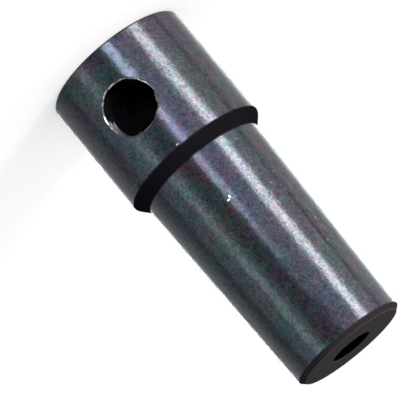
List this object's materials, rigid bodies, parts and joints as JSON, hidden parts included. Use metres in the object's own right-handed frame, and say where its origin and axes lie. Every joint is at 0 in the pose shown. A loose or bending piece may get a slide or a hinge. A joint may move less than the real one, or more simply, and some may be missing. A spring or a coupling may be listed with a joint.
{
  "type": "drill chuck arbor",
  "caption": "Blackened steel arbor: cylindrical head with a tapped side hole, conical shoulder, slow self-holding taper for a drill chuck, and a bore right through for a motor shaft.",
  "frame": {"origin": "centre of the head's flat face, on the arbor's axis; the arbor stands on this face", "axes": "+Z runs along the axis from the head's face to the taper's small end, and the tapped hole for the set screw opens towards -Y"},
  "size_m": [0.0118, 0.0118, 0.0282],
  "materials": {
    "black_steel": "turned and blackened, satin, with faint turning lines and bare bright metal on a few worn edges"
  },
  "bodies": {
    "root": {"arbor": "black_steel"}
  },
  "joints": []
}
